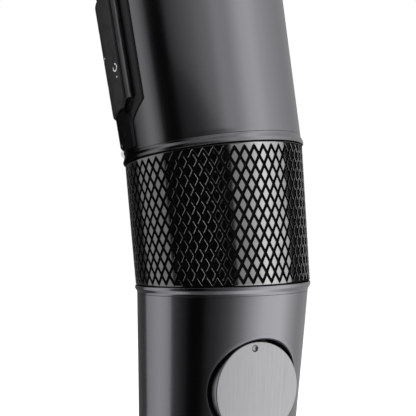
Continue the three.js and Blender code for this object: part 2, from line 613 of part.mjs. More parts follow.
add("clamp_collar", clampCollar(), SATIN_BLACK);
add("clamp_bridge", clampBridge(), SATIN_BLACK);
add("clamp_bolt_front", clampBolt(35), STEEL);
add("clamp_bolt_rear", clampBolt(41.5), STEEL);
add("fixed_pad", fixedPad(), RUBBER);
add("jaw_pad", jawPad(), RUBBER);
add("clamp_jaw", clampJaw(), SATIN_BLACK);
add("clamp_screw", clampScrew(), STEEL);
add("clamp_knob", clampKnob(), SATIN_BLACK);
for (const [name, height] of [["lower", 158], ["middle", 197], ["upper", 259]]) {
  const seat = bodyRadius(height) - HOUSING_WALL;
  add(`housing_screw_${name}`, backRod(2.2, seat, seat + 1.4, height), STEEL);
}

export default group;
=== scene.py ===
# Looks for a sous vide circulator: smooth shells, a machined knurl and procedural finishes round the
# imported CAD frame. Shapes are drawn in millimetres, and metres() turns them into the row frame.
import json
import math

import bmesh
import bpy
import numpy as np
from mathutils import Matrix, Vector

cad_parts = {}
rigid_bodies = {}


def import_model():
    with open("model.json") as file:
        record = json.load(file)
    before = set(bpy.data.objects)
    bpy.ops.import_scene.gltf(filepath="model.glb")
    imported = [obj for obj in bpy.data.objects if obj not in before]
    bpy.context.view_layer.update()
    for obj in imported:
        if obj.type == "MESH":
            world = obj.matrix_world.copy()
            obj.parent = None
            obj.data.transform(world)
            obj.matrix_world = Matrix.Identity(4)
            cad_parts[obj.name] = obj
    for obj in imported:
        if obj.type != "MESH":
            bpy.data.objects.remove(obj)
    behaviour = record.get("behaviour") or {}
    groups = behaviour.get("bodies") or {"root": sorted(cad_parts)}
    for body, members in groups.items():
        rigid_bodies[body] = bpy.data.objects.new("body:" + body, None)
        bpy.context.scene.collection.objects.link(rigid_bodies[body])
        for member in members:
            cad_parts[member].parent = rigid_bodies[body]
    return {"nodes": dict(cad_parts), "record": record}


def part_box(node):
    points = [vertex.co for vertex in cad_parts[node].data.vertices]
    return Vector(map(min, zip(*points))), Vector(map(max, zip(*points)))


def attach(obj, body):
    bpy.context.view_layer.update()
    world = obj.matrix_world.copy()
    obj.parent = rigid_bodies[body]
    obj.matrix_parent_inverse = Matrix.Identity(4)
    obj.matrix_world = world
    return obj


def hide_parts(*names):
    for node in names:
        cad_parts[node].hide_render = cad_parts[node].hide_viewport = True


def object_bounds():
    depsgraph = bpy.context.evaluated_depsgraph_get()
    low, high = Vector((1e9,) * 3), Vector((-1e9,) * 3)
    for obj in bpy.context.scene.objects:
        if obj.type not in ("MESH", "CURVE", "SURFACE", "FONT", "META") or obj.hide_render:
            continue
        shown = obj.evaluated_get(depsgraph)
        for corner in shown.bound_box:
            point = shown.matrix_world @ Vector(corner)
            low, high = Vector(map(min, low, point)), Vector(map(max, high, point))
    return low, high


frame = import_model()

cad_box = [list(corner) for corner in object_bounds()]

MM = 0.001
DEG = math.pi / 180
TURN = 2 * math.pi

# ---- Driving dimensions in millimetres: the CAD model's, apart from those marked ----
GAP = 0.3
GRIP_BOTTOM, GRIP_LENGTH = 205.0, 42.04
GRIP_TOP = GRIP_BOTTOM + GRIP_LENGTH
GRIP_AXIS_LEAN, HEAD_AXIS_LEAN = 6.56 * DEG, 10.91 * DEG
LOWER_EDGE_LEAN, UPPER_EDGE_LEAN = 3.9 * DEG, 8.86 * DEG
LOWER_FADE, UPPER_FADE = 25.0, 8.0
GRIP_BOTTOM_R, GRIP_TOP_R = 29.08, 30.0
LOWER_R, LOWER_TAPER = 28.68, 0.0617
HEAD_R, HEAD_TAPER = 29.93, 0.0241
BEAD_HEIGHT, BEAD_PROUD = 2.5, 0.6
LOWER_BOTTOM, LOWER_TOP = 150.5, GRIP_BOTTOM - BEAD_HEIGHT - 2 * GAP
UPPER_BOTTOM, UPPER_TOP = GRIP_TOP + BEAD_HEIGHT + 2 * GAP, 312.0
HEAD_TOP = 325.0
TUBE_R, TUBE_BOTTOM, TUBE_TOP = 22.8, 20.6, 155.5
CAP_TOP = 18.0
CAP_TRAVEL = 32.0  # room below the cap for pulling it off
DIAL_HEIGHT, DIAL_ANGLE = 174.2, 113.2 * DEG
DIAL_R, DIAL_FACE, WELL_R, WELL_WALL = 14.3, 25.0, 15.5, 0.9
PLATE_HALF, PLATE_BOTTOM, PLATE_TOP = 16.6, GRIP_TOP + 18, GRIP_TOP + 55
PLATE_PROUD = 1.35  # CAD 1.6
BEZEL_HALF, BEZEL_TOP, BEZEL_SHOULDER = 22.6, GRIP_TOP + 60, GRIP_TOP + 18.3
STRIP_HALF, STRIP_BOTTOM, STRIP_TOP = 17.1, GRIP_TOP + 4.5, GRIP_TOP + 12.6
STRIP_PROUD = 0.6  # CAD 0.95
BUTTON_HEIGHT, BUTTON_R = GRIP_TOP + 4.8, 1.9  # CAD GRIP_TOP + 5.5 and 1.95
RECESS_HALF, RECESS_TOP, RECESS_DEPTH = 8.4, GRIP_TOP + 7.6, 1.2
CLAMP_Z = 112.0
INLET_HEIGHT, INLET_WIDE, INLET_TALL = 304.0, 12.0, 6.0  # the last two are half sizes

CAMERA_AZIMUTH = 86 * DEG  # from the control side towards the dial

# Knurl: diamonds in two interleaved sets, cut between two edges given as shares of the grip's length.
KNURL_COUNT = 60
KNURL_PHASE = 1.0 * DEG
KNURL_ROWS = 7
KNURL_LOW, KNURL_HIGH = 0.0183, 0.9732
GROOVE_TOP, GROOVE_FOOT, GROOVE_DEPTH = 0.47, 0.3, 0.5
CHAMFER = 0.045

HEAD_COLUMNS, HEAD_ROWS = 300, 41
HEAD_LIT_FROM = 0.242  # metres: pieces that start above it are lit as the head
STUDIO_BASE, STUDIO_SHINE = 0.3, 0.003  # the world's light on matt and on glossy surfaces

# ---- The bent centre line ----


def spine(height):
    """The centre line's y and z at a height along it, and the lean of the section there."""
    height = np.asarray(height, float)
    share = np.clip((height - GRIP_BOTTOM + LOWER_FADE) / LOWER_FADE, 0, 1)
    along = np.clip(height - GRIP_BOTTOM, 0, GRIP_LENGTH)
    past = np.maximum(height - GRIP_TOP, 0)
    lean = (LOWER_EDGE_LEAN * share
            + (UPPER_EDGE_LEAN - LOWER_EDGE_LEAN) * along / GRIP_LENGTH
            + (HEAD_AXIS_LEAN - UPPER_EDGE_LEAN) * np.minimum(past / UPPER_FADE, 1))
    y = -along * math.sin(GRIP_AXIS_LEAN) - past * math.sin(HEAD_AXIS_LEAN)
    z = (np.minimum(height, GRIP_BOTTOM) + along * math.cos(GRIP_AXIS_LEAN)
         + past * math.cos(HEAD_AXIS_LEAN))
    return y, z, lean


def rows_of_three(points):
    return np.asarray(points, float).reshape(-1, 3)


def bent(points):
    """Points round a straight axis, moved onto the bent centre line, in metres."""
    p = rows_of_three(points)
    y, z, lean = spine(p[:, 2])
    return np.stack([p[:, 0], y + p[:, 1] * np.cos(lean), z + p[:, 1] * np.sin(lean)], 1) * MM


def metres(points):
    return rows_of_three(points) * MM


def dialwards(points):
    """Points drawn with +Z outwards along the dial's axis, X along the body's girth, Y up it."""
    p = rows_of_three(points)
    out = np.array([math.sin(DIAL_ANGLE), -math.cos(DIAL_ANGLE), 0])
    side = np.array([math.cos(DIAL_ANGLE), math.sin(DIAL_ANGLE), 0])
    up = np.array([0, 0, 1.0])
    return (p[:, :1] * side + p[:, 1:2] * up + p[:, 2:] * out + up * DIAL_HEIGHT) * MM


def body_radius(height):
    height = np.asarray(height, float)
    lower = LOWER_R - (GRIP_BOTTOM - height) * LOWER_TAPER
    grip = GRIP_BOTTOM_R + (GRIP_TOP_R - GRIP_BOTTOM_R) * (height - GRIP_BOTTOM) / GRIP_LENGTH
    head = HEAD_R + (height - GRIP_TOP) * HEAD_TAPER
    return np.where(height < GRIP_BOTTOM, lower, np.where(height > GRIP_TOP, head, grip))


def skin_radius(height):
    return float(body_radius(height))


def round_the_body(angle, height, radius):
    """Straight-axis points at an angle from the control side towards +X."""
    return np.stack(np.broadcast_arrays(radius * np.sin(angle), -radius * np.cos(angle), height), -1)


# ---- Materials ----


class Look:
    """A node material: a Principled shader whose colour, roughness and bump vary by noise."""

    def __init__(self, name, metallic, uniform=()):
        self.material = bpy.data.materials.new(name)
        self.material.use_nodes = True
        self.tree = self.material.node_tree
        self.shader = self.tree.nodes["Principled BSDF"]
        for socket, value in {"Metallic": metallic, **dict(uniform)}.items():
            self.shader.inputs[socket].default_value = value
        self.place = self.add("ShaderNodeTexCoord").outputs["Object"]

    def add(self, kind, **inputs):
        node = self.tree.nodes.new(kind)
        for name, value in inputs.items():
            node.inputs[name].default_value = value
        return node

    def link(self, source, target):
        self.tree.links.new(source, target)

    def stretched(self, scale):
        node = self.add("ShaderNodeMapping", Scale=scale)
        self.link(self.place, node.inputs["Vector"])
        return node.outputs["Vector"]

    def noise(self, scale, detail=3.0, roughness=0.5, vector=None):
        node = self.add("ShaderNodeTexNoise", Scale=scale, Detail=detail, Roughness=roughness)
        self.link(vector or self.place, node.inputs["Vector"])
        return node.outputs["Fac"]

    def roughness(self, value, low, high):
        node = self.add("ShaderNodeMapRange", **{"From Min": 0.3, "From Max": 0.7, "To Min": low,
                                                 "To Max": high})
        self.link(value, node.inputs["Value"])
        self.link(node.outputs["Result"], self.shader.inputs["Roughness"])

    def colour(self, value, dark, light, from_low=0.3, from_high=0.7):
        ramp = self.add("ShaderNodeValToRGB")
        for end, at, tint in zip(ramp.color_ramp.elements, (from_low, from_high), (dark, light)):
            end.position = at
            end.color = (*tint, 1)
        self.link(value, ramp.inputs["Fac"])
        self.link(ramp.outputs["Color"], self.shader.inputs["Base Color"])

    def bump(self, value, strength, distance=0.0001):
        node = self.add("ShaderNodeBump", Strength=strength, Distance=distance)
        self.link(value, node.inputs["Height"])
        self.link(node.outputs["Normal"], self.shader.inputs["Normal"])
        return self


def surface(name, colour, rough, bump, metallic, uniform=()):
    """A look of three noises. colour and rough are (noise, low, high), bump is (noise, strength, depth),
    and each noise is (scale, detail, roughness), where the last of either may be left out."""
    look = Look(name, metallic, uniform)
    look.colour(look.noise(*colour[0]), *colour[1:])
    look.roughness(look.noise(*rough[0]), *rough[1:])
    return look.bump(look.noise(*bump[0]), *bump[1:]).material


def moulded_plastic(name, dark, light, rough, grain, strength):
    return surface(name, ((240, 4), dark, light), ((110, 4), *rough), ((grain, 3, 0.6), strength), 0.0)


def brushed_metal(name, dark, light, rough, stretch):
    """Metal with fine lines: stretch is small along the lines."""
    look = Look(name, 1.0)
    lines = look.noise(1.0, 5, 0.65, look.stretched(stretch))
    look.colour(lines, dark, light)
    look.roughness(lines, *rough)
    return look.bump(lines, 0.12, 0.00004).material


def circuit_board(name):
    look = Look(name, 0.0)
    look.colour(look.noise(600, 1, 0.2, look.stretched((1, 1, 0.15))), (0.006, 0.05, 0.022),
                (0.02, 0.13, 0.06), 0.47, 0.53)
    look.roughness(look.noise(200, 3), 0.3, 0.5)
    return look.bump(look.noise(900, 2), 0.1).material


GRAIN = {name: make(name, *setting) for make, name, *setting in (
    (surface, "gunmetal_paint", ((9000, 2, 0.6), (0.245, 0.243, 0.262), (0.3, 0.298, 0.318)),
     ((55, 4), 0.17, 0.2), ((700, 2), 0.012), 1.0, {"Coat Weight": 0.35, "Coat Roughness": 0.05}),
    (surface, "black_nickel", ((160, 5), (0.6, 0.59, 0.595), (0.7, 0.69, 0.69)),
     ((420, 4), 0.06, 0.13), ((2600, 3), 0.05, 0.00005), 1.0),
    (surface, "groove_black", ((1500, 3), (0.0012, 0.0012, 0.0013), (0.004, 0.004, 0.004)),
     ((900, 3), 0.5, 0.7), ((4000, 3), 0.2), 0.0, {"Specular IOR Level": 0.2}),
    (moulded_plastic, "gloss_black", (0.0035, 0.0035, 0.004), (0.0065, 0.0065, 0.007),
     (0.1, 0.17), 900, 0.015),
    (moulded_plastic, "satin_black", (0.009, 0.009, 0.01), (0.015, 0.015, 0.016),
     (0.38, 0.5), 3200, 0.25),
    (moulded_plastic, "dark_plate", (0.026, 0.026, 0.027), (0.036, 0.036, 0.037), (0.3, 0.42), 2800, 0.12),
    (moulded_plastic, "white_plastic", (0.6, 0.58, 0.52), (0.72, 0.7, 0.64), (0.35, 0.5), 1800, 0.1),
    (brushed_metal, "light_trim", (0.3, 0.3, 0.325), (0.4, 0.4, 0.425), (0.26, 0.4), (900, 900, 25)),
    (brushed_metal, "dial_metal", (0.34, 0.34, 0.35), (0.43, 0.43, 0.44), (0.28, 0.42), (1600, 1600, 60)),
    (brushed_metal, "steel", (0.44, 0.45, 0.46), (0.64, 0.65, 0.66), (0.2, 0.34), (40, 40, 2600)),
    (brushed_metal, "aluminium", (0.5, 0.5, 0.52), (0.66, 0.66, 0.68), (0.3, 0.45), (30, 30, 1500)),
    (brushed_metal, "bronze", (0.34, 0.2, 0.08), (0.5, 0.32, 0.14), (0.35, 0.5), (800, 800, 800)),
    (brushed_metal, "copper_winding", (0.25, 0.09, 0.035), (0.5, 0.2, 0.08), (0.3, 0.5), (20, 20, 3500)),
    (surface, "chrome", ((300, 3), (0.86, 0.87, 0.88), (0.93, 0.93, 0.94)),
     ((500, 4), 0.02, 0.06), ((1500, 2), 0.01), 1.0),
    (surface, "dark_glass", ((90, 4), (0.004, 0.0042, 0.005), (0.007, 0.0072, 0.0085)),
     ((260, 5), 0.03, 0.07), ((900, 2), 0.006), 0.0, {"Coat Weight": 1.0, "Coat Roughness": 0.01}),
    (surface, "rubber", ((380, 5), (0.01, 0.01, 0.01), (0.02, 0.0198, 0.019)),
     ((300, 4), 0.66, 0.88), ((2400, 4, 0.7), 0.35), 0.0, {"Specular IOR Level": 0.35}),
    (circuit_board, "circuit_board"),
    (surface, "white_mark", ((900, 3), (0.62, 0.63, 0.64), (0.74, 0.75, 0.76)),
     ((600, 3), 0.4, 0.55), ((2500, 2), 0.05), 0.0))}
GRAIN["display_glass"] = GRAIN["dark_glass"]

# ---- Mesh helpers ----


def new_object(name, data):
    obj = bpy.data.objects.new(name, data)
    bpy.context.scene.collection.objects.link(obj)
    return obj


def new_mesh(name, points, faces):
    mesh = bpy.data.meshes.new(name)
    mesh.from_pydata([tuple(p) for p in points], [], [tuple(f) for f in faces])
    return mesh


def declare(obj, body, replaces=()):
    """Puts a piece on the body it rides on and hides the CAD nodes it stands for."""
    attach(obj, body)
    if replaces:
        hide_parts(*replaces)


def piece(name, shape, look, body="housing", replaces=(), sharp=28, weld=0.002):
    """A new object on a body. shape is its points in metres and its faces; weld is in millimetres."""
    obj = new_object(name, new_mesh(name, *shape))
    obj.data.materials.append(GRAIN[look])
    tidy(obj, sharp, weld)
    declare(obj, body, replaces)
    return obj


def tidy(obj, sharp=28, weld=0.002):
    """Merges doubles, turns the faces outwards and shades smooth between sharp edges."""
    bm = bmesh.new()
    bm.from_mesh(obj.data)
    bmesh.ops.remove_doubles(bm, verts=bm.verts, dist=weld * MM)
    bmesh.ops.dissolve_degenerate(bm, dist=0.0005 * MM, edges=bm.edges)
    bmesh.ops.recalc_face_normals(bm, faces=bm.faces)
    bm.to_mesh(obj.data)
    bm.free()
    obj.data.polygons.foreach_set("use_smooth", [True] * len(obj.data.polygons))
    obj.data.set_sharp_from_angle(angle=sharp * DEG)


def evaluated_mesh(obj):
    bpy.context.view_layer.update()
    return bpy.data.meshes.new_from_object(obj.evaluated_get(bpy.context.evaluated_depsgraph_get()))


def apply_modifiers(obj):
    mesh = evaluated_mesh(obj)
    obj.modifiers.clear()
    obj.data = mesh
    tidy(obj)


def thicken(obj, thickness, bevel, segments=3, limit=50):
    """Gives an open surface a wall inwards, with softly rounded rims."""
    wall = obj.modifiers.new("wall", "SOLIDIFY")
    wall.thickness = thickness * MM
    wall.offset = -1
    if bevel:
        soften(obj, bevel, segments, limit)
    else:
        apply_modifiers(obj)


def soften(obj, width, segments=3, limit=50):
    edge = obj.modifiers.new("edge", "BEVEL")
    edge.width = width * MM
    edge.segments = segments
    edge.limit_method = "ANGLE"
    edge.angle_limit = limit * DEG
    edge.use_clamp_overlap = True
    apply_modifiers(obj)


def fillet(profile, steps=5):
    """A closed outline of (r, z) or (r, z, radius) corners, with an arc at each corner that has one."""
    points = []
    count = len(profile)
    for i, corner in enumerate(profile):
        here = np.array(corner[:2], float)
        radius = corner[2] if len(corner) > 2 else 0
        if not radius:
            points.append(tuple(here))
            continue
        before, after = (np.array(profile[n][:2], float) - here for n in (i - 1, (i + 1) % count))
        before /= np.linalg.norm(before)
        after /= np.linalg.norm(after)
        half = math.acos(float(np.clip(before @ after, -1, 1))) / 2
        reach = radius / math.tan(half)
        centre = here + (before + after) / np.linalg.norm(before + after) * radius / math.sin(half)
        start, end = here + before * reach - centre, here + after * reach - centre
        sweep = math.atan2(start[0] * end[1] - start[1] * end[0], start @ end)
        for k in range(steps + 1):
            a = sweep * k / steps
            points.append((centre[0] + start[0] * math.cos(a) - start[1] * math.sin(a),
                           centre[1] + start[0] * math.sin(a) + start[1] * math.cos(a)))
    return points


def between(low, high):
    """The faces between two closed rings of point numbers."""
    return [[low[k], low[n], high[n], high[k]] for k, n in enumerate([*range(1, len(low)), 0])]


def turned_faces(radii, segments):
    """The faces between copies of a closed profile round an axis. Corners on the axis become poles."""
    faces = []
    count = len(radii)
    for k in range(segments):
        a, b = k * count, (k + 1) % segments * count
        for i in range(count):
            j = (i + 1) % count
            corners = [a + i, b + i, b + j, a + j]
            for corner in (i, j):
                if radii[corner] < 1e-6:
                    corners.remove(b + corner)
            if len(corners) > 2:
                faces.append(corners)
    return faces


def revolve(profile, segments=192, place=bent):
    """Points and faces of a closed (r, z) profile turned about Z."""
    points = []
    for k in range(segments):
        angle = TURN * k / segments
        points += [(r * math.sin(angle), -r * math.cos(angle), z) for r, z in profile]
    return place(points), turned_faces([r for r, _ in profile], segments)


def follow(profile, step=2.0):
    """Adds points along a profile's long upright runs, so that it can bend."""
    out = []
    for i, here in enumerate(profile):
        there = profile[(i + 1) % len(profile)]
        parts = max(1, int(abs(there[1] - here[1]) / step))
        for k in range(parts):
            out.append((here[0] + (there[0] - here[0]) * k / parts,
                        here[1] + (there[1] - here[1]) * k / parts))
    return out


def bevelled_copy(node, name, look, body, width):
    """A CAD node's own shape with its flat faces merged and its edges rounded."""
    obj = new_object(name, frame["nodes"][node].data.copy())
    obj.data.materials.clear()
    obj.data.materials.append(GRAIN[look])
    bm = bmesh.new()
    bm.from_mesh(obj.data)
    bmesh.ops.remove_doubles(bm, verts=bm.verts, dist=0.004 * MM)
    bmesh.ops.dissolve_limit(bm, angle_limit=1.5 * DEG, verts=bm.verts, edges=bm.edges)
    bm.to_mesh(obj.data)
    bm.free()
    soften(obj, width, limit=35)
    declare(obj, body, [node])


def cut_with(obj, shapes):
    """Takes closed shapes, each given as points and faces, out of obj."""
    cutters = []
    for shape in shapes:
        cutters.append(new_object("cutter", new_mesh("cutter", *shape)))
        tidy(cutters[-1])
    for cutter in cutters:
        knife = obj.modifiers.new("cut", "BOOLEAN")
        knife.operation = "DIFFERENCE"
        knife.solver = "EXACT"
        knife.object = cutter
    apply_modifiers(obj)
    for cutter in cutters:
        bpy.data.objects.remove(cutter)


def prism(outline, low, high, place=metres):
    """An outline of (x, y) corners drawn up from z low to z high."""
    count = len(outline)
    points = [(x, y, low) for x, y in outline] + [(x, y, high) for x, y in outline]
    low_ring, high_ring = range(count), range(count, 2 * count)
    return place(points), [low_ring[::-1], high_ring, *between(low_ring, high_ring)]


def rounded(half_x, half_y, radius, steps=5):
    return fillet([(-half_x, -half_y, radius), (half_x, -half_y, radius),
                   (half_x, half_y, radius), (-half_x, half_y, radius)], steps)


# ---- Body shells ----


def surface_grid(low, high, columns, row_step, hidden=None, hole=None):
    """A fine open skin of the body between two heights.
    hidden(angle, height) leaves out faces; hole is the radius of a true circle left open for the
    dial's well, with rings of faces drawn in towards it."""
    rows = max(2, int(round((high - low) / row_step)))
    heights = np.linspace(low, high, rows + 1)
    angles = np.arange(columns) * TURN / columns
    grid = round_the_body(angles[None, :], heights[:, None], body_radius(heights)[:, None])
    points = [*bent(grid)]
    index = lambda i, j: i * columns + j % columns
    i0 = i1 = j0 = j1 = 0
    if hole:
        reach = hole * 1.28
        swing = reach * 1.12 / skin_radius(DIAL_HEIGHT)
        j0, j1 = (int(round((DIAL_ANGLE + way * swing) / TURN * columns)) for way in (-1, 1))
        i0 = int(np.searchsorted(heights, DIAL_HEIGHT - reach)) - 1
        i1 = int(np.searchsorted(heights, DIAL_HEIGHT + reach))
    faces = []
    for i in range(rows):
        for j in range(columns):
            if i0 <= i < i1 and j0 <= j < j1:
                continue
            if hidden and hidden(angles[j] + TURN / columns / 2, (heights[i] + heights[i + 1]) / 2):
                continue
            faces.append([index(i, j), index(i, j + 1), index(i + 1, j + 1), index(i + 1, j)])
    if hole:
        edge = ([index(i0, j) for j in range(j0, j1)] + [index(i, j1) for i in range(i0, i1)]
                + [index(i1, j) for j in range(j1, j0, -1)] + [index(i, j0) for i in range(i1, i0, -1)])
        flat = [on_dial_plane(points[k]) for k in edge]
        rings = 9
        last = edge
        for ring in range(1, rings + 1):
            share = ring / rings
            here = range(len(points), len(points) + len(edge))
            for u, w in flat:
                pull = 1 - share + share * hole / math.hypot(u, w)
                points.append(body_point_over_dial(u * pull, w * pull))
            faces += between(last, here)
            last = here
    return points, faces


def on_dial_plane(point):
    """A row-frame point's place across and up the dial's plane, in millimetres."""
    across = (point[0] * math.cos(DIAL_ANGLE) + point[1] * math.sin(DIAL_ANGLE)) / MM
    return across, point[2] / MM - DIAL_HEIGHT


def body_point_over_dial(u, w):
    """The row-frame point of the body's skin above a place on the dial's plane."""
    height = DIAL_HEIGHT + w
    for _ in range(4):
        radius = skin_radius(height)
        angle = DIAL_ANGLE + math.asin(np.clip(u / radius, -1, 1))
        lean = float(spine(height)[2])
        height = DIAL_HEIGHT + w + radius * math.cos(angle) * math.sin(lean)
    return bent(round_the_body(angle, height, radius))[0]


def inside_bezel(angle, height):
    """Whether a place on the head lies under the bezel, well short of its outer edge, or in the
    recess round the start button."""
    if math.cos(angle) < 0:
        return False
    recess_columns, recess_rows, margin = 14, 3, 1.45
    row = (UPPER_TOP - UPPER_BOTTOM) / HEAD_ROWS
    away = min(angle, TURN - angle) / (TURN / HEAD_COLUMNS)
    if away < recess_columns and height < UPPER_BOTTOM + recess_rows * row:
        return True
    x = abs(skin_radius(height) * math.sin(angle))
    slope = Vector((BEZEL_HALF - STRIP_HALF, BEZEL_SHOULDER - STRIP_TOP)).normalized()
    from_slope = slope.y * (x - STRIP_HALF) - slope.x * (height - STRIP_TOP)
    outside = max(RECESS_TOP + 0.5 - height, height - BEZEL_TOP, x - BEZEL_HALF, from_slope)
    if height < STRIP_TOP:
        outside = max(outside, x - STRIP_HALF)
    return outside < -margin


def inside_inlet(angle, height):
    return (math.cos(angle) < 0 and abs(skin_radius(height) * math.sin(angle)) < INLET_WIDE + 0.2
            and abs(height - INLET_HEIGHT) < INLET_TALL + 0.4)


def housings():
    rims = {"bevel": 0.18, "limit": 40}
    shape = surface_grid(LOWER_BOTTOM, LOWER_TOP, 240, 1.6, hole=WELL_R + 0.05)
    lower = piece("lower_shell", shape, "gunmetal_paint", replaces=["lower_housing"])
    thicken(lower, 0.9, **rims)
    shape = surface_grid(UPPER_BOTTOM, UPPER_TOP, HEAD_COLUMNS, (UPPER_TOP - UPPER_BOTTOM) / HEAD_ROWS,
                         hidden=lambda a, h: inside_bezel(a, h) or inside_inlet(a, h))
    upper = piece("upper_shell", shape, "gunmetal_paint", replaces=["upper_housing"])
    thicken(upper, 1.6, **rims)


def bead(name, node, low, lip_up):
    """A ring with a lip next to the grip and a hollow slope from it down to the housing's skin."""
    near, far = (low + BEAD_HEIGHT, low) if lip_up > 0 else (low, low + BEAD_HEIGHT)
    lip = skin_radius(near) + BEAD_PROUD
    skin = skin_radius(far)
    far -= lip_up * (GAP - 0.04)
    outline = fillet([(skin - 1.9, near), (lip, near, 0.3), (lip, near - lip_up * 1.05, 0.7),
                      (skin + 0.02, near - lip_up * 2.15, 0.9), (skin, far, 0.05), (skin - 1.9, far)], 8)
    piece(name, revolve(outline, 240), "gunmetal_paint", replaces=[node], sharp=50)


def head():
    r = skin_radius(UPPER_TOP)
    outline = fillet([
        (r - 3.4, UPPER_TOP - 1.4), (r - 2.4, UPPER_TOP - 1.4), (r - 2.4, UPPER_TOP + GAP),
        (r, UPPER_TOP + GAP, 0.4), (r, HEAD_TOP - 0.02, 9.7), (22.6, HEAD_TOP - 0.02, 0.35),
        (22.6, HEAD_TOP - 2.2), (20.5, HEAD_TOP - 2.2), (20.5, HEAD_TOP - 4), (r - 7, HEAD_TOP - 4),
        (r - 3.4, UPPER_TOP + 7)], 12)
    piece("head_shell", revolve(outline, 240), "gunmetal_paint", replaces=["head_cap"])
    glass = fillet([(0, HEAD_TOP - 1.9), (22.35, HEAD_TOP - 1.9), (22.35, HEAD_TOP - 0.25, 0.4),
                    (0, HEAD_TOP - 0.25)], 6)
    piece("display_glass", revolve(glass), "display_glass", replaces=["display_window"])


# ---- Knurled grip ----


def grip():
    """The grip's knurl: raised diamonds with bevelled sides over black grooves, between plain bands."""
    half_turn = TURN / KNURL_COUNT / 2
    half_rise = (KNURL_HIGH - KNURL_LOW) / KNURL_ROWS / 2
    wide = half_turn * (GRIP_BOTTOM_R + GRIP_TOP_R) / 2
    tall = half_rise * GRIP_LENGTH
    across = wide * tall / math.hypot(wide, tall)
    band_parts, inner_rows, wall = 6, 8, 1.8
    points, faces, black = [], [], []

    def put(angle, share, depth):
        height = GRIP_BOTTOM + share * GRIP_LENGTH
        radius = GRIP_BOTTOM_R + (GRIP_TOP_R - GRIP_BOTTOM_R) * share - depth
        points.append(tuple(round_the_body(angle, height, radius)))
        return len(points) - 1

    def add(more, dark=False):
        if dark:
            black.extend(range(len(faces), len(faces) + len(more)))
        faces.extend(more)

    corner_steps = 3
    rhombus = []
    for side in range(4):
        a, b = (np.array([math.cos(n * TURN / 4), math.sin(n * TURN / 4)]) for n in (side, side + 1))
        rhombus += [(a + (b - a) * k / corner_steps, k == 0) for k in range(corner_steps)]

    def ring(angle, share, inset, corner_pull, depth):
        scale = 1 - inset / across
        out = []
        for spot, corner in rhombus:
            s = scale * (1 - corner_pull if corner else 1)
            out.append(put(angle + spot[0] * half_turn * s, share + spot[1] * half_rise * s, depth))
        return out

    def diamond(angle, share):
        rings = [ring(angle, share, 0, 0, GROOVE_DEPTH),
                 ring(angle, share, GROOVE_FOOT, 0.02, GROOVE_DEPTH),
                 ring(angle, share, GROOVE_TOP - CHAMFER, 0.03, CHAMFER),
                 ring(angle, share, GROOVE_TOP, 0.035, 0)]
        for level in range(3):
            add(between(rings[level], rings[level + 1]), dark=level < 2)
        middle = put(angle, share, 0)
        top = rings[3]
        add([[top[k], top[(k + 1) % len(top)], middle] for k in range(len(top))])

    for row in range(KNURL_ROWS):
        for k in range(KNURL_COUNT):
            angle = KNURL_PHASE + k * 2 * half_turn
            diamond(angle, KNURL_LOW + (2 * row + 1) * half_rise)
            if row:
                diamond(angle + half_turn, KNURL_LOW + 2 * row * half_rise)

    lift = 1 / math.sin(math.atan2(wide, tall)) / GRIP_LENGTH

    def band(edge, end, way):
        """The plain band with its zigzag edge; way is +1 at the top and -1 at the bottom."""
        for k in range(KNURL_COUNT):
            columns = []
            for n in range(band_parts + 1):
                angle = KNURL_PHASE + (k * 2 + 2 * n / band_parts) * half_turn
                dip = 1 - abs(2 * n / band_parts - 1)
                zigzag = edge - way * dip * half_rise
                tip = n in (0, band_parts)
                valley = n == band_parts // 2
                pull = (0.62 if tip else 1.12 if valley else 1.0) * lift
                levels = [(zigzag, GROOVE_DEPTH),
                          (zigzag + way * pull * GROOVE_FOOT, GROOVE_DEPTH),
                          (zigzag + way * pull * (GROOVE_TOP - CHAMFER), CHAMFER),
                          (zigzag + way * pull * GROOVE_TOP, 0),
                          (end - way * 0.3 / GRIP_LENGTH, 0), (end - way * 0.1 / GRIP_LENGTH, 0.08),
                          (end, 0.28), (end, wall)]
                columns.append([put(angle, share, depth) for share, depth in levels])
            for left, right in zip(columns, columns[1:]):
                for level in range(len(left) - 1):
                    add([[left[level], right[level], right[level + 1], left[level + 1]]], dark=level < 2)

    band(KNURL_HIGH, 1.0, 1)
    band(KNURL_LOW, 0.0, -1)
    columns = KNURL_COUNT * band_parts
    inner = [[put(KNURL_PHASE + n * TURN / columns, row / inner_rows, wall) for n in range(columns)]
             for row in range(inner_rows + 1)]
    for low, high in zip(inner, inner[1:]):
        add(between(low, high))
    sleeve = new_object("knurled_grip", new_mesh("knurled_grip", bent(points), faces))
    sleeve.data.materials.append(GRAIN["black_nickel"])
    sleeve.data.materials.append(GRAIN["groove_black"])
    flags = np.zeros(len(faces), np.int32)
    flags[black] = 1
    sleeve.data.polygons.foreach_set("material_index", flags)
    tidy(sleeve, sharp=20, weld=0.01)
    declare(sleeve, "housing", ["grip_sleeve"])


# ---- Control side ----


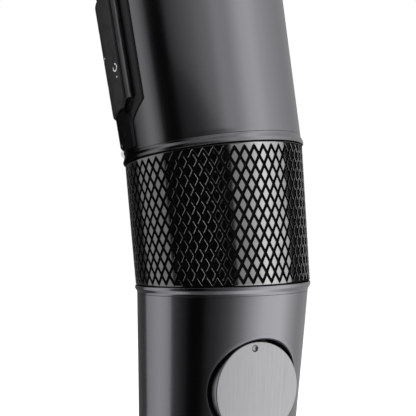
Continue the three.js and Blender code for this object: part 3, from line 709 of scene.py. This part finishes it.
def curved_plate(name, outline, top, thickness, look, body="housing", replaces=(), holes=(),
                 bevel=0.3, slice_step=0.8, segments=3):
    """A plate cut to an (x, height) outline, wrapped round the head, its face at an offset from it."""
    bm = bmesh.new()
    edges = []
    for loop in [outline, *holes]:
        ring = [bm.verts.new((x, 0, z)) for x, z in loop]
        edges += [bm.edges.new((ring[i], ring[(i + 1) % len(ring)])) for i in range(len(ring))]
    bmesh.ops.triangle_fill(bm, use_beauty=True, use_dissolve=False, edges=edges)
    reach = max(abs(x) for x, _ in outline)
    steps = int(2 * reach / slice_step)
    for k in range(1, steps):
        at = -reach + 2 * reach * k / steps
        bmesh.ops.bisect_plane(bm, geom=[*bm.verts, *bm.edges, *bm.faces], dist=1e-5,
                               plane_co=(at, 0, 0), plane_no=(1, 0, 0))
    flat = np.array([(v.co.x, v.co.z) for v in bm.verts])
    bm.verts.index_update()
    faces = [[v.index for v in f.verts] for f in bm.faces]
    bm.free()
    skin = skin_radius(np.mean(flat[:, 1]))
    radius = body_radius(flat[:, 1]) + top
    angle = np.arcsin(np.clip(flat[:, 0] / (skin + top), -1, 1))
    points = bent(round_the_body(angle, flat[:, 1], radius))
    obj = piece(name, (points, faces), look, body, replaces, weld=0.001)
    outwards(obj)
    thicken(obj, thickness, bevel, segments)


def outwards(obj):
    """Turns an open skin's faces away from the head's axis."""
    y, z, _ = spine(PLATE_BOTTOM)
    centre = Vector((0, float(y) * MM, float(z) * MM))
    mesh = obj.data
    total = sum((p.center - centre).dot(p.normal) * p.area for p in mesh.polygons)
    if total < 0:
        mesh.flip_normals()


def rectangle(x0, z0, x1, z1):
    return [(x0, z0), (x1, z0), (x1, z1), (x0, z1)]


def mirrored(right):
    """A closed outline from its right half, drawn upwards."""
    return right + [(-x, z) for x, z in reversed(right) if x > 0]


def foot(half):
    """The right half of an outline's foot, with the recess round the start button cut out of it."""
    return [(RECESS_HALF - 1.4, RECESS_TOP - 0.4), (RECESS_HALF, RECESS_TOP - 1.8),
            (RECESS_HALF, STRIP_BOTTOM), (half, STRIP_BOTTOM)]


def fascia():
    outer = mirrored(foot(STRIP_HALF) + [(STRIP_HALF, STRIP_TOP), (BEZEL_HALF, BEZEL_SHOULDER),
                                         (BEZEL_HALF, BEZEL_TOP - 3), (BEZEL_HALF - 3, BEZEL_TOP)])
    opening = mirrored([(15.0, GRIP_TOP + 14.6), (20.9, GRIP_TOP + 20.2), (20.9, BEZEL_TOP - 3.8),
                        (18.8, BEZEL_TOP - 1.7)])
    curved_plate("bezel_rim", outer, 0.45, 2.2, "gloss_black", replaces=["fascia_bezel"],
                 holes=[opening], bevel=0.4)
    floor = mirrored([(16.2, GRIP_TOP + 13.6), (21.8, GRIP_TOP + 19.4), (21.8, BEZEL_TOP - 3),
                      (19.4, BEZEL_TOP - 0.9)])
    curved_plate("bezel_floor", floor, -0.8, 0.95, "gloss_black", bevel=0)
    strip = mirrored(foot(STRIP_HALF - 0.5) + [(STRIP_HALF - 0.5, STRIP_TOP + 1.2),
                                               (STRIP_HALF - 2.9, STRIP_TOP + 4.6)])
    curved_plate("foot_strip", strip, STRIP_PROUD, 0.8, "gloss_black")
    pocket = mirrored([(RECESS_HALF + 1.1, UPPER_BOTTOM + 0.1), (RECESS_HALF + 1.1, RECESS_TOP + 1.6)])
    curved_plate("recess_floor", pocket, -RECESS_DEPTH, 0.8, "gloss_black", bevel=0)
    plate = mirrored([(PLATE_HALF - 2.6, PLATE_BOTTOM), (PLATE_HALF, PLATE_BOTTOM + 2.6),
                      (PLATE_HALF, PLATE_TOP - 2.6), (PLATE_HALF - 2.6, PLATE_TOP)])
    curved_plate("key_plate", plate, PLATE_PROUD, 1.5, "dark_plate", "control_key", ["control_plate"],
                 bevel=0.45, segments=4)
    for side, node in ((-1, "trim_strip_left"), (1, "trim_strip_right")):
        near, far = sorted((17.25 * side, 19.15 * side))
        curved_plate(f"{node}_bar", rectangle(near, GRIP_TOP + 20, far, PLATE_TOP), 0.85, 1.3,
                     "light_trim", replaces=[node], bevel=0.2, slice_step=0.5)
    marks()


def stroke(centre, radius, start, end, width, steps=18):
    """A closed outline of part of a ring, in x and height; angles are anticlockwise from +x."""
    turn = [start + (end - start) * k / steps for k in range(steps + 1)]
    return [(centre[0] + r * math.cos(a), centre[1] + r * math.sin(a))
            for r, angles in ((radius + width / 2, turn), (radius - width / 2, reversed(turn)))
            for a in angles]


def marks():
    """Plain printed marks on the key: a timer ring and dots, and an up and a down arrow."""
    def mark(name, outline):
        curved_plate(name, outline, PLATE_PROUD + 0.03, 0.06, "white_mark", "control_key",
                     bevel=0, slice_step=0.3)

    def dot(name, x, z, radius):
        mark(name, [(x + radius * math.cos(a), z + radius * math.sin(a))
                    for a in np.linspace(0, TURN, 16, endpoint=False)])

    ring_x, ring_z = 14.8, GRIP_TOP + 30.9
    mark("mark_ring", stroke((ring_x, ring_z), 1.15, -200 * DEG, 90 * DEG, 0.36))
    dot("mark_dot", ring_x + 0.3, ring_z - 3.1, 0.27)
    mark("mark_bar", rectangle(-ring_x - 0.9, ring_z - 0.2, -ring_x + 0.9, ring_z + 0.2))
    dot("mark_bar_dot", -ring_x, ring_z - 3.1, 0.27)
    middle = (PLATE_BOTTOM + PLATE_TOP) / 2
    for name, way in (("mark_up", 1), ("mark_down", -1)):
        tip = middle + way * 12.5
        mark(name, [(-3.4, tip - way * 3.0), (0, tip), (3.4, tip - way * 3.0), (3.4, tip - way * 4.1),
                    (0, tip - way * 1.1), (-3.4, tip - way * 4.1)])
    for k in range(5):
        dot(f"mark_level_{k + 1}", (k - 2) * 3.2, middle, 0.38)


def start_button():
    nose = skin_radius(BUTTON_HEIGHT) - 0.95
    ball = [(BUTTON_R * math.sin(a), nose + BUTTON_R * math.cos(a)) for a in np.linspace(0, 100 * DEG, 14)]
    outline = ball + fillet([(1.6, nose - 0.8), (1.6, 27), (2.3, 27, 0.1), (2.3, 26.2, 0.1), (1.5, 26.2),
                             (1.5, 24.8, 0.2), (0, 24.8)], 3)
    collar_outline = fillet([(2.0, nose - 1.2), (2.5, nose - 1.2), (2.5, nose - 0.35, 0.2),
                             (2.0, nose - 0.35, 0.15)], 4)

    def place(points):
        return bent([(x, -z, BUTTON_HEIGHT + y) for x, y, z in points])

    piece("ball_button", revolve(outline, 48, place), "chrome", "start_key", ["start_button"], sharp=40)
    piece("button_collar", revolve(collar_outline, 48, place), "gloss_black")


# ---- Dial ----


def dial():
    """The dial in its well: the well's rim follows the housing's skin, the disc is flat."""
    segments = 160
    outer = WELL_R + WELL_WALL
    levels = [(outer, None, -1.2), (WELL_R + 0.1, None, -0.22), (WELL_R - 0.12, None, -0.24),
              (WELL_R - 0.25, None, -0.4), (WELL_R - 0.25, 18.9, 0), (WELL_R - 0.6, 18.2, 0),
              (3.4, 18.2, 0), (3.4, 16.8, 0), (outer, 16.8, 0)]
    points = []
    for k in range(segments):
        a = TURN * k / segments
        skin = body_point_over_dial(WELL_R * math.cos(a), WELL_R * math.sin(a))
        rim = (skin[0] * math.sin(DIAL_ANGLE) - skin[1] * math.cos(DIAL_ANGLE)) / MM
        for radius, level, drop in levels:
            out = rim + drop if level is None else level
            points.append((radius * math.cos(a), radius * math.sin(a), out))
    shape = dialwards(points), turned_faces([radius for radius, _, _ in levels], segments)
    piece("well_cup", shape, "gloss_black", replaces=["dial_well"])

    outline = fillet([(0, 16.2), (2.9, 16.2), (2.9, 18.7), (DIAL_R, 18.7, 0.3), (DIAL_R, DIAL_FACE, 0.4),
                      (0, DIAL_FACE)], 5)
    disc = piece("dial_disc", revolve(outline, 160, dialwards), "dial_metal", "dial_knob", ["dial"])
    ball = bmesh.new()
    bmesh.ops.create_uvsphere(ball, u_segments=40, v_segments=24, radius=1.3)
    dimple = dialwards([(v.co.x - 1.6, v.co.y + 12.2, v.co.z + DIAL_FACE + 0.7) for v in ball.verts])
    ball_faces = [[v.index for v in f.verts] for f in ball.faces]
    ball.free()
    cut_with(disc, [(dimple, ball_faces)])


# ---- Heater tube and pump ----


def spun(points, angle):
    """Points turned about the tube's axis, in metres."""
    cos, sin = math.cos(angle), math.sin(angle)
    return metres([(x * cos - y * sin, x * sin + y * cos, z) for x, y, z in points])


def wall_hole(half_x, half_z, radius, height, angle, steps=5):
    """A rounded hole's shape, run out through the tube's or the cap's wall at a height and an angle."""
    return prism(rounded(half_x, half_z, radius, steps), 15, 30,
                 lambda points: spun([(z, x, height + y) for x, y, z in points], angle))


def tube():
    outline = follow(fillet([(TUBE_R - 0.8, TUBE_BOTTOM), (TUBE_R, TUBE_BOTTOM, 0.2), (TUBE_R, TUBE_TOP),
                             (TUBE_R - 0.8, TUBE_TOP)], 3), 6)
    wall = piece("heater_sleeve", revolve(outline, 160, metres), "steel", replaces=["heater_tube"])
    slots = [wall_hole(2.5, 21, 2.49, 51, (i + 0.5) * 60 * DEG, 8) for i in range(6)]
    vents = [wall_hole(2, 2.1, 1.99, 122.1, (i * 90 + 45) * DEG, 8) for i in range(4)]
    cut_with(wall, slots + vents)


def heater_coil():
    coil_r, leg_r, turns, low, high, top = 14.4, 8.6, 3.5, 33, 66, 141.2
    points = [(coil_r, 0, z) for z in (top, 110, 78)]
    steps = int(turns * 12)
    for i in range(steps + 1):
        turn = i * 30 * DEG
        points.append((coil_r * math.cos(turn), coil_r * math.sin(turn), high - (high - low) * i / steps))
    points += [(-11.6, -3.4, 32.2), (-leg_r, -1.6, 40), *((-leg_r, 0, z) for z in (56, 100, top))]
    curve = bpy.data.curves.new("coil", "CURVE")
    curve.dimensions = "3D"
    curve.bevel_depth = 2.4 * MM
    curve.bevel_resolution = 6
    curve.resolution_u = 6
    curve.use_fill_caps = True
    line = curve.splines.new("NURBS")
    line.points.add(len(points) - 1)
    for spot, p in zip(line.points, points):
        spot.co = (*(c * MM for c in p), 1)
    line.order_u = 3
    line.use_endpoint_u = True
    drawn = new_object("heater_element", curve)
    mesh = evaluated_mesh(drawn)
    bpy.data.objects.remove(drawn)
    obj = new_object("heater_element", mesh)
    mesh.materials.clear()
    mesh.materials.append(GRAIN["steel"])
    tidy(obj)
    declare(obj, "housing", ["heater_coil"])


def pump():
    outline = fillet([(0, 0), (TUBE_R, 0, 1.6), (TUBE_R, CAP_TOP, 0.3), (21.2, CAP_TOP, 0.2),
                      (21.2, 2.2, 0.8), (0, 2.2)], 6)
    cap = piece("pump_shroud", revolve(outline, 160, metres), "satin_black", "cap", ["pump_cap"])

    def intake(angle):
        return prism([(x + 13.5, y) for x, y in rounded(4.5, 1.6, 1.5)], -1, 4,
                     lambda points: spun(points, angle))

    outlets = [wall_hole(3.2, 3.8, 1.2, 8.6, (i + 0.5) * 60 * DEG) for i in range(6)]
    cut_with(cap, outlets + [intake(i * 45 * DEG) for i in range(8)])


# ---- Clamp ----


def clamp():
    for node, name, look, body, width in (
            ("clamp_bridge", "bridge_arm", "satin_black", "housing", 0.9),
            ("clamp_jaw", "jaw_plate", "satin_black", "jaw", 0.4),
            ("fixed_pad", "rubber_pad", "rubber", "housing", 0.5),
            ("jaw_pad", "rubber_jaw_pad", "rubber", "jaw", 0.5)):
        bevelled_copy(node, name, look, body, width)
    collar()
    knob()
    thread()


def on_the_screw(points):
    return metres([(x, z, CLAMP_Z + y) for x, y, z in points])


def collar():
    outline = fillet([(TUBE_R + GAP, 122), (27.4, 122, 0.8), (27.4, 148, 0.8), (TUBE_R + GAP, 148)], 5)
    piece("collar_ring", revolve(outline, 160, metres), "satin_black", replaces=["clamp_collar"])
    tongue = prism([(x, y + 117.85) for x, y in rounded(12, 19.85, 2)], 25.6, 30,
                   lambda points: metres([(x, z, y) for x, y, z in points]))
    boss = prism([(x, y + 35.2) for x, y in rounded(12, 8.8, 0.8)], 128, 137.7)
    for name, shape in (("collar_tongue", tongue), ("collar_boss", boss)):
        soften(piece(name, shape, "satin_black"), 0.6)


def knob():
    count, lobes, radius, wave = 120, 6, 13.3, 1.15
    outline = []
    for turn in (TURN * i / count for i in range(count)):
        r = radius + wave * math.cos(lobes * turn)
        outline.append((r * math.cos(turn), r * math.sin(turn)))
    star = piece("star_knob", prism(outline, 79, 91, on_the_screw), "satin_black", "screw",
                 ["clamp_knob"], sharp=40)
    dish = fillet([(0, 90.2), (7.5, 90.2, 0.8), (8.3, 92), (0, 92)], 4)
    bore = [(0, 76), (4.3, 76), (4.3, 88.4), (0, 88.4)]
    cut_with(star, [revolve(dish, 64, on_the_screw), revolve(bore, 48, on_the_screw)])
    soften(star, 0.7, 4)


def thread():
    """The clamp screw: a real helical thread of 2 mm pitch between two plain ends."""
    pitch, steps_per_turn, near, far = 2.0, 48, 54.0, 87.0
    total = int((far - near) / pitch * steps_per_turn)
    profile = [(3.45, 0.0), (3.45, 0.3), (3.98, 0.85), (3.98, 1.15), (3.45, 1.7)]
    points, faces = [], []
    for k in range(total + 1):
        turn = TURN * k / steps_per_turn
        start = near + pitch * k / steps_per_turn
        points += [(r * math.cos(turn), start + along, CLAMP_Z + r * math.sin(turn))
                   for r, along in profile]
    count = len(profile)
    for k in range(total):
        for i in range(count - 1):
            a = k * count + i
            faces.append([a, a + 1, a + count + 1, a + count])
        if k + steps_per_turn <= total:
            a, b = k * count + count - 1, (k + steps_per_turn) * count
            faces.append([a, b, b + count, a + count] if k + steps_per_turn < total else [a, b, a + count])
    piece("screw_thread", (metres(points), faces), "steel", "screw", ["clamp_screw"])
    core = fillet([(0, 53.3), (3.9, 53.3, 0.4), (3.9, 54.6, 0.3), (3.46, 54.6), (3.46, 87), (3.9, 87, 0.3),
                   (3.9, 88, 0.3), (0, 88)], 3)
    piece("screw_core", revolve(core, 64, on_the_screw), "steel", "screw")


# ---- Back of the housing ----


def power_inlet():
    def at(side):
        return lambda points: bent([(side + x, z, INLET_HEIGHT + y) for x, y, z in points])

    shape = prism(rounded(INLET_WIDE, INLET_TALL, 1.2), 15.5, 29.6, at(0))
    socket = piece("inlet_socket", shape, "satin_black", replaces=["power_inlet"])
    cut_with(socket, [prism(rounded(8.5, 4.2, 4.1, 8), 18.2, 32, at(0))])
    soften(socket, 0.3, 2)
    pin = fillet([(0, 17), (1.2, 17), (1.2, 27, 0.5), (0, 27)], 5)
    for name, side in (("inlet_pin_left", -4.3), ("inlet_pin_right", 4.3)):
        piece(name, revolve(pin, 32, at(side)), "steel")


def screws():
    """Recessed cross-head screws in the back of the housing."""
    outline = fillet([(0, -0.6), (2.15, -0.6), (2.15, 0.45, 0.35), (0, 0.8)], 5)
    for name, lean in (("lower", 0), ("middle", LOWER_EDGE_LEAN), ("upper", HEAD_AXIS_LEAN)):
        node = f"housing_screw_{name}"
        low, high = (np.array(corner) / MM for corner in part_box(node))
        x0, y0, z0 = (low + high) / 2
        middle = Vector((0, y0, z0))
        out = Vector((0, math.cos(lean), math.sin(lean)))
        up = Vector((0, -math.sin(lean), math.cos(lean)))

        def place(points):
            return metres([(x0 + x, *(middle + up * y + out * (z - 0.1)).yz) for x, y, z in points])
        head = piece(f"{node}_head", revolve(outline, 40, place), "steel", replaces=[node])
        cut_with(head, [prism(rounded(wide, tall, 0.1), 0.15, 2, place)
                        for wide, tall in ((1.3, 0.28), (0.28, 1.3))])


# ---- Plain inner pieces keep their CAD shape ----


def dress_cad():
    """Gives every CAD node the finish of its own material slot; some still show."""
    for part in frame["record"]["subparts"]:
        node = frame["nodes"][part["node"]]
        node.data.materials.clear()
        node.data.materials.append(GRAIN[part["material_slot"]])


# ---- Studio ----


def camera():
    """Close to the grip on the dial's side, a little below it and rolled."""
    azimuth, elevation, roll = CAMERA_AZIMUTH, -3.557 * DEG, 2.459 * DEG
    back = Vector((math.sin(azimuth) * math.cos(elevation), -math.cos(azimuth) * math.cos(elevation),
                   math.sin(elevation)))
    right = (-back).cross(Vector((0, 0, 1))).normalized()
    up = right.cross(-back)
    across = math.cos(roll) * right + math.sin(roll) * up
    upwards = math.cos(roll) * up - math.sin(roll) * right
    target = Vector((0, -5.977, GRIP_BOTTOM + 24.464)) * MM
    distance = 0.22365
    data = bpy.data.cameras.new("camera")
    data.lens = 57.12
    data.sensor_width = 36
    data.clip_start = 0.01
    obj = new_object("camera", data)
    matrix = Matrix((across, upwards, back)).transposed().to_4x4()
    matrix.translation = target + back * distance
    obj.matrix_world = matrix
    bpy.context.scene.camera = obj


def softbox(name, start, end, levels, low=-1.5, high=1.5):
    """A tall panel light between two bearings from the camera's side and two heights about the grip.
    levels are (bearing, brightness) pairs across it."""
    distance = 1.2
    bearing = (start + end) / 2 * DEG
    half = (end - start) / 2 * DEG
    azimuth = CAMERA_AZIMUTH + bearing
    out = Vector((math.sin(azimuth), -math.cos(azimuth), 0))
    data = bpy.data.lights.new(name, "AREA")
    data.shape = "RECTANGLE"
    data.size = 2 * distance * math.tan(half)
    data.size_y = high - low
    data.energy = math.pi * data.size * data.size_y
    data.use_nodes = True
    tree = data.node_tree
    place = tree.nodes.new("ShaderNodeNewGeometry")
    split = tree.nodes.new("ShaderNodeSeparateXYZ")
    ramp = tree.nodes.new("ShaderNodeValToRGB")
    tree.links.new(place.outputs["Parametric"], split.inputs["Vector"])
    tree.links.new(split.outputs["X"], ramp.inputs["Fac"])
    tree.links.new(ramp.outputs["Color"], tree.nodes["Emission"].inputs["Strength"])
    elements = ramp.color_ramp.elements
    while len(elements) < len(levels):
        elements.new(0.5)
    for element, (angle, level) in zip(elements, levels):
        element.position = 0.5 + math.tan(angle * DEG - bearing) / (2 * math.tan(half))
        element.color = (level, level, level, 1)
    obj = new_object(name, data)
    middle = Vector((0, -4 * MM, (GRIP_BOTTOM + 10) * MM + (low + high) / 2))
    obj.location = middle + out * distance
    obj.rotation_euler = out.to_track_quat("Z", "Y").to_euler()
    return obj


def level_box(name, height, size, level, bearing=None):
    """A square panel light lying level above or below everything. One with a bearing has a corner on
    the grip's axis and lies out along that bearing from the camera's side."""
    data = bpy.data.lights.new(name, "AREA")
    data.shape = "SQUARE"
    data.size = size
    data.energy = math.pi * size * size * level
    azimuth = CAMERA_AZIMUTH + (bearing or 0) * DEG
    out = 0 if bearing is None else size / math.sqrt(2)
    obj = new_object(name, data)
    obj.location = (out * math.sin(azimuth), -out * math.cos(azimuth), height)
    obj.rotation_euler = (math.pi if height < 0 else 0, 0, azimuth - 135 * DEG)
    return obj


def light_only(light, members):
    """Keeps a panel's light to some of the objects."""
    group = bpy.data.collections.new(light.name)
    for member in members:
        group.objects.link(member)
    light.light_linking.receiver_collection = group


def panels(floor):
    """Sets of softboxes tuned for the button, the head, the grip and what is below it."""
    lit = {"button": [], "head": [], "grip": [], "low": [floor]}
    for obj in bpy.context.scene.objects:
        if obj.type != "MESH" or obj == floor:
            continue
        bottom = min((obj.matrix_world @ Vector(c)).z for c in obj.bound_box)
        part = "head" if bottom > HEAD_LIT_FROM else "low"
        lit[{"ball_button": "button", "knurled_grip": "grip"}.get(obj.name, part)].append(obj)
    stands = {
        "button": (
            ("front", -160, -50, [(-160, 0.75), (-50, 0.65)], -3.5, 3.5),
            ("main", 15, 94, [(15, 0.1), (94, 0.4)])),
        "head": (
            ("strip", -104, -60, [(-104, 0.12), (-91, 0.26), (-80, 0.44), (-74, 0.45), (-60, 0.12)],
             -1.5, 7.0),
            ("main", -36, 78, [(-36, 0.02), (-10, 0.05), (10, 0.14), (30, 0.52), (50, 1.0),
                               (65, 1.1), (78, 0.92)], -1.5, 7.0),
            ("side", 78, 165, [(78, 0.92), (100, 0.7), (126, 0.49), (165, 0.3)], -1.5, 7.0),
            ("high", -39, 32, [(-39, 0.06), (0, 0.26), (20, 0.28), (32, 0.02)], 0.2)),
        "grip": (
            ("back", -168, -114, [(-168, 0.03), (-114, 0.022)]),
            ("strip", -113, -65, [(-113, 0.2), (-90, 0.25), (-65, 0.19)]),
            ("main", 19, 97, [(19, 0.21), (33, 0.32), (47, 0.6), (58, 0.94), (70, 0.85), (97, 0.48)]),
            ("side", 97, 165, [(97, 0.012), (165, 0.012)])),
        "low": (
            ("strip", -122, -70, [(-122, 0.45), (-107, 0.62), (-90, 0.8), (-78, 0.7), (-70, 0.55)],
             -7.0),
            ("tail", -69, -45, [(-69, 0.1), (-45, 0.01)]),
            ("back", -165, -124, [(-165, 0.12), (-124, 0.06)]),
            ("main", -24, 84, [(-24, 0.01), (-5, 0.07), (10, 0.16), (24, 0.4), (37, 0.8), (55, 1.25),
                               (84, 1.4)], -7.0),
            ("side", 84, 165, [(84, 1.4), (103, 0.84), (120, 0.52), (165, 0.3)], -7.0))}
    for part, boxes in stands.items():
        for stand, *setting in boxes:
            light_only(softbox(f"{part}_{stand}", *setting), lit[part])
    for setting in (("overhead", 5.0, 2.6, 0.4), ("bounce", -4.5, 2.6, 0.3),
                    ("canopy", 1.5, 1.3, 0.18, -22), ("apron", -1.3, 1.5, 0.15, -22)):
        light_only(level_box(*setting), lit["head"] + lit["low"])


def studio():
    scene = bpy.context.scene
    scene.view_settings.view_transform = "Standard"
    world = bpy.data.worlds.new("studio")
    scene.world = world
    world.use_nodes = True
    tree = world.node_tree
    background = tree.nodes["Background"]
    paths = tree.nodes.new("ShaderNodeLightPath")
    mix = tree.nodes.new("ShaderNodeMix")
    mix.data_type = "FLOAT"
    mix.inputs["A"].default_value = STUDIO_BASE
    mix.inputs["B"].default_value = STUDIO_SHINE
    tree.links.new(paths.outputs["Is Glossy Ray"], mix.inputs["Factor"])
    seen = tree.nodes.new("ShaderNodeMath")
    seen.operation = "MAXIMUM"
    tree.links.new(mix.outputs["Result"], seen.inputs[0])
    tree.links.new(paths.outputs["Is Camera Ray"], seen.inputs[1])
    tree.links.new(seen.outputs[0], background.inputs["Strength"])
    background.inputs["Color"].default_value = (1, 1, 1, 1)

    reach = 4.0
    corners = [(-reach, -reach, 0), (reach, -reach, 0), (reach, reach, 0), (-reach, reach, 0)]
    floor = new_object("floor", new_mesh("floor", corners, [(0, 1, 2, 3)]))
    floor.location.z = cad_box[0][2] - CAP_TRAVEL * MM
    look = Look("floor", 0.0, {"Specular IOR Level": 0.0, "Roughness": 0.9})
    look.colour(look.noise(6, 2), (0.93, 0.93, 0.93), (0.95, 0.95, 0.95))
    look.shader.inputs["Emission Color"].default_value = (1, 1, 1, 1)
    look.shader.inputs["Emission Strength"].default_value = 0.8
    floor.data.materials.append(look.material)
    floor.visible_glossy = False
    floor.visible_shadow = False

    panels(floor)


# ---- Assembly ----
camera()
dress_cad()
housings()
bead("upper_bead", "upper_bead_ring", GRIP_TOP + GAP, -1)
bead("lower_bead", "lower_bead_ring", GRIP_BOTTOM - GAP - BEAD_HEIGHT, 1)
head()
grip()
fascia()
start_button()
dial()
tube()
heater_coil()
pump()
clamp()
power_inlet()
screws()
studio()
